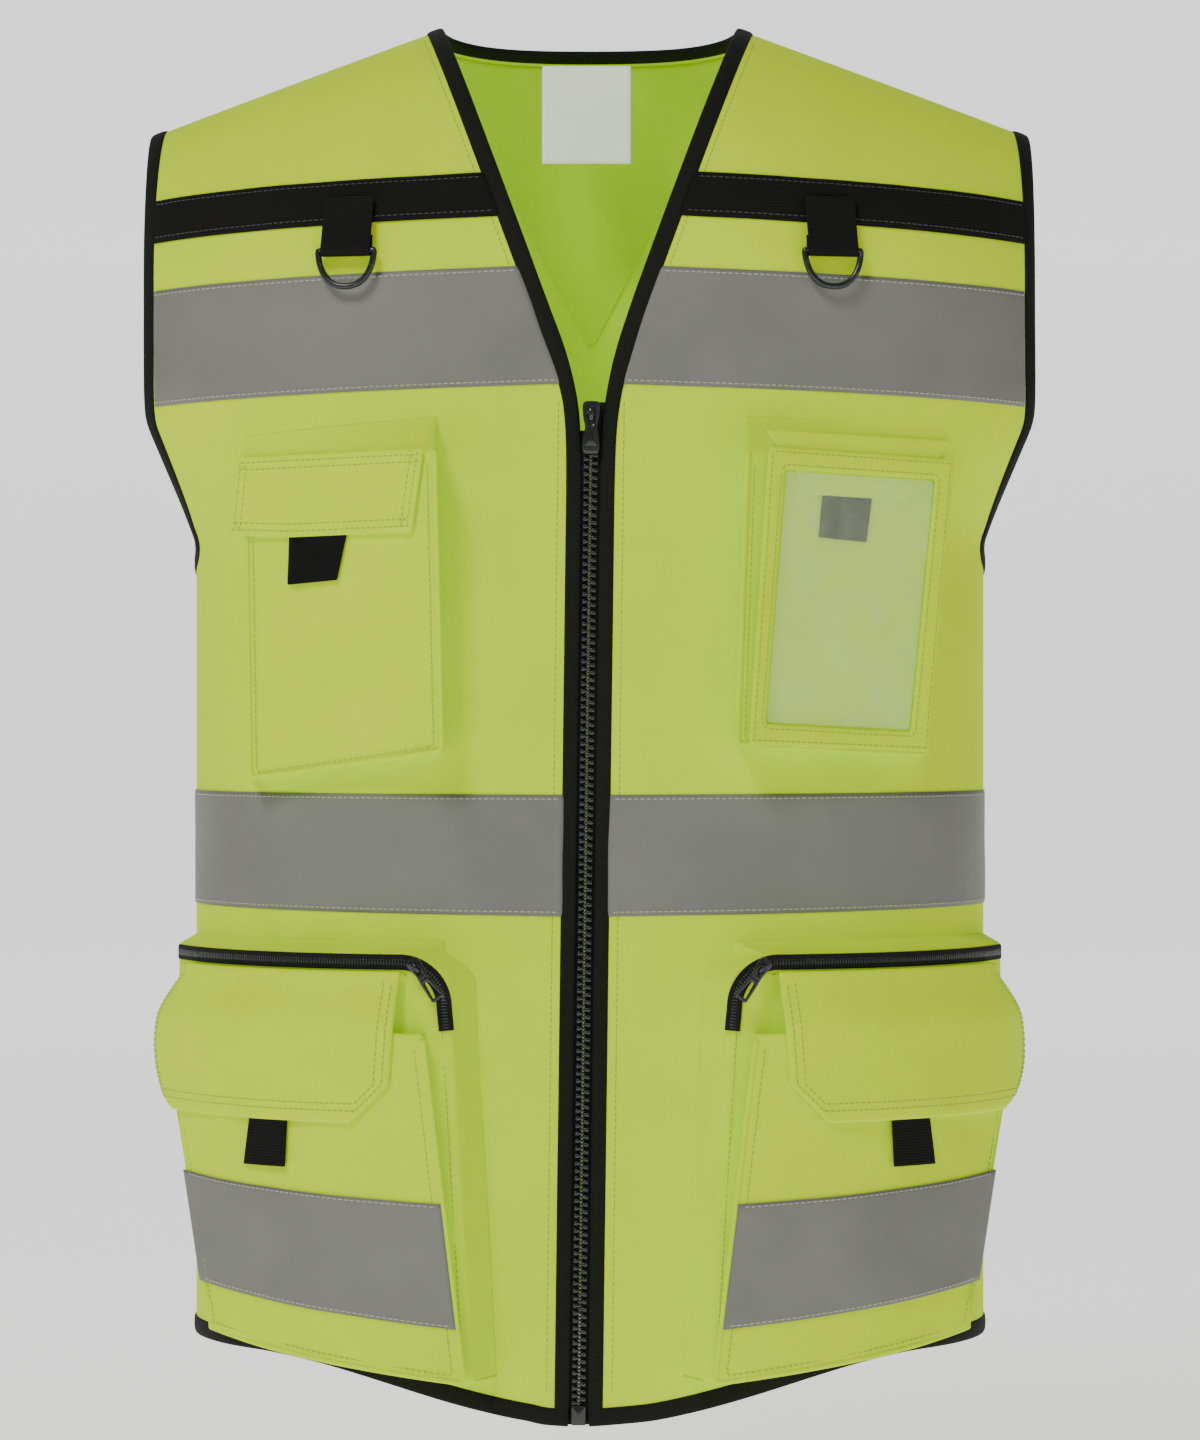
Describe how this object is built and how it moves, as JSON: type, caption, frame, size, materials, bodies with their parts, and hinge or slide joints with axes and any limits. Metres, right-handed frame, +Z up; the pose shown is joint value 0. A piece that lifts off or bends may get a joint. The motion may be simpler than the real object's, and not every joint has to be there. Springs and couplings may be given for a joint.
{
  "type": "high visibility vest",
  "caption": "Zip-front high visibility work vest with reflective bands, bound edges, D-rings, flapped cargo pockets and a clear ID holder.",
  "frame": {"origin": "midway between the two shoulder seams at the height of the neck points, where a hanger or the wearer's neck lies", "axes": "+Z up; the front with the zip faces -Y; +X is the wearer's left"},
  "size_m": [0.4582, 0.2768, 0.7072],
  "materials": {
    "hi_vis_cloth": "fluorescent yellow-lime tricot polyester, matt",
    "black_binding": "black ribbed polyester binding tape, matt",
    "black_webbing": "black woven webbing with a fine cross rib",
    "black_zip_tape": "black woven zip tape",
    "reflective_tape": "silver grey glass-bead retroreflective tape, satin",
    "zip_plastic": "black moulded plastic, glossy",
    "ring_metal": "black lacquered steel wire",
    "clear_window": "clear soft vinyl sheet, glossy, lightly creased",
    "label_cloth": "blank white satin label, matt"
  },
  "bodies": {
    "shell": {"back_panel": "hi_vis_cloth", "back_neck_facing": "hi_vis_cloth", "neck_binding": "black_binding", "hem_binding": "black_binding", "back_chest_tape": "reflective_tape", "back_waist_tape": "reflective_tape", "right_front_panel": "hi_vis_cloth", "right_chest_pocket": "hi_vis_cloth", "right_chest_pocket_header": "hi_vis_cloth", "right_zip_pocket": "hi_vis_cloth", "right_cargo_pocket": "hi_vis_cloth", "right_armhole_binding": "black_binding", "right_chest_tape": "reflective_tape", "right_waist_tape": "reflective_tape", "right_cargo_tape": "reflective_tape", "right_chest_webbing": "black_webbing", "right_ring_tab": "black_webbing", "right_cargo_zip": "black_zip_tape", "left_front_panel": "hi_vis_cloth", "left_chest_pocket": "hi_vis_cloth", "left_chest_pocket_header": "hi_vis_cloth", "left_zip_pocket": "hi_vis_cloth", "left_cargo_pocket": "hi_vis_cloth", "left_armhole_binding": "black_binding", "left_chest_tape": "reflective_tape", "left_waist_tape": "reflective_tape", "left_cargo_tape": "reflective_tape", "left_chest_webbing": "black_webbing", "left_ring_tab": "black_webbing", "left_cargo_zip": "black_zip_tape"},
    "right_edge": {"right_front_edge": "hi_vis_cloth", "right_front_binding": "black_binding", "right_zip_tape": "black_zip_tape", "right_zip_teeth": "zip_plastic"},
    "right_flap": {"right_chest_flap": "hi_vis_cloth", "right_chest_flap_tab": "black_webbing"},
    "right_cargo_flap_body": {"right_cargo_flap": "hi_vis_cloth", "right_cargo_flap_tab": "black_webbing"},
    "right_cargo_slider_body": {"right_cargo_slider": "zip_plastic"},
    "right_cargo_pull_body": {"right_cargo_pull": "zip_plastic"},
    "right_ring": {"right_d_ring": "ring_metal"},
    "left_edge": {"left_front_edge": "hi_vis_cloth", "left_front_binding": "black_binding", "left_zip_tape": "black_zip_tape", "left_zip_teeth": "zip_plastic", "zip_retainer_box": "zip_plastic"},
    "left_flap": {"left_chest_flap": "hi_vis_cloth", "left_chest_flap_tab": "black_webbing"},
    "left_cargo_flap_body": {"left_cargo_flap": "hi_vis_cloth", "left_cargo_flap_tab": "black_webbing"},
    "left_cargo_slider_body": {"left_cargo_slider": "zip_plastic"},
    "left_cargo_pull_body": {"left_cargo_pull": "zip_plastic"},
    "left_ring": {"left_d_ring": "ring_metal"},
    "main_slider": {"main_zip_slider": "zip_plastic"},
    "main_pull": {"main_zip_pull": "zip_plastic"},
    "id_holder": {"id_holder_frame": "hi_vis_cloth", "id_holder_window": "clear_window"},
    "label": {"neck_label": "label_cloth"}
  },
  "joints": [
    {"name": "right_edge_fold", "type": "hinge", "parent": "shell", "child": "right_edge", "pos_m": [-0.036, -0.12215, -0.42], "axis": [0, 0, -1], "range_deg": [0, 90]},
    {"name": "left_edge_fold", "type": "hinge", "parent": "shell", "child": "left_edge", "pos_m": [0.036, -0.12215, -0.42], "axis": [0, 0, 1], "range_deg": [0, 90]},
    {"name": "main_zip", "type": "slide", "parent": "left_edge", "child": "main_slider", "axis": [-0.0128, 0, -0.9999], "range_m": [0, 0.478]},
    {"name": "main_pull_swing", "type": "hinge", "parent": "main_slider", "child": "main_pull", "pos_m": [0.00091, -0.1251, -0.201], "axis": [-0.9999, 0, 0.0128], "range_deg": [0, 150]},
    {"name": "right_chest_flap_swing", "type": "hinge", "parent": "shell", "child": "right_flap", "pos_m": [-0.17625, -0.09655, -0.221], "axis": [-0.8986, 0.4383, -0.0189], "range_deg": [0, 150]},
    {"name": "right_cargo_flap_swing", "type": "hinge", "parent": "shell", "child": "right_cargo_flap_body", "pos_m": [-0.16317, -0.10795, -0.475], "axis": [-0.766, 0.6428, 0], "range_deg": [0, 110]},
    {"name": "right_cargo_zip_travel", "type": "hinge", "parent": "shell", "child": "right_cargo_slider_body", "pos_m": [-0.06, 0.015, -0.473], "axis": [0, 0, -1], "range_deg": [0, 48]},
    {"name": "right_cargo_pull_swing", "type": "hinge", "parent": "right_cargo_slider_body", "child": "right_cargo_pull_body", "pos_m": [-0.08453, -0.14914, -0.473], "axis": [-0.7826, 0.117, -0.6114], "range_deg": [0, 140]},
    {"name": "id_holder_swing", "type": "hinge", "parent": "shell", "child": "id_holder", "pos_m": [0.07762, -0.14527, -0.364], "axis": [-0.0675, -0.0329, -0.9972], "range_deg": [0, 90]},
    {"name": "left_chest_flap_swing", "type": "hinge", "parent": "shell", "child": "left_flap", "pos_m": [0.12618, -0.11936, -0.21], "axis": [-0.8988, -0.4384, 0], "range_deg": [0, 30]},
    {"name": "left_cargo_flap_swing", "type": "hinge", "parent": "shell", "child": "left_cargo_flap_body", "pos_m": [0.16317, -0.10795, -0.475], "axis": [-0.766, -0.6428, 0], "range_deg": [0, 110]},
    {"name": "left_cargo_zip_travel", "type": "hinge", "parent": "shell", "child": "left_cargo_slider_body", "pos_m": [0.06, 0.015, -0.473], "axis": [0, 0, 1], "range_deg": [0, 48]},
    {"name": "left_cargo_pull_swing", "type": "hinge", "parent": "left_cargo_slider_body", "child": "left_cargo_pull_body", "pos_m": [0.08453, -0.14914, -0.473], "axis": [-0.7826, -0.117, 0.6114], "range_deg": [0, 140]},
    {"name": "right_ring_swing", "type": "hinge", "parent": "shell", "child": "right_ring", "pos_m": [-0.12026, -0.11936, -0.11998], "axis": [-0.9766, 0.2152, 0], "range_deg": [0, 150]},
    {"name": "left_ring_swing", "type": "hinge", "parent": "shell", "child": "left_ring", "pos_m": [0.12026, -0.11936, -0.11998], "axis": [-0.9766, -0.2152, 0], "range_deg": [0, 150]},
    {"name": "label_lift", "type": "hinge", "parent": "shell", "child": "label", "pos_m": [-0.002, 0.0553, -0.0042], "axis": [-1, 0, 0], "range_deg": [0, 70]}
  ],
  "couplings": [
    {"joint": "left_chest_flap_swing", "follows": "id_holder_swing", "ratio": 0.3}
  ]
}
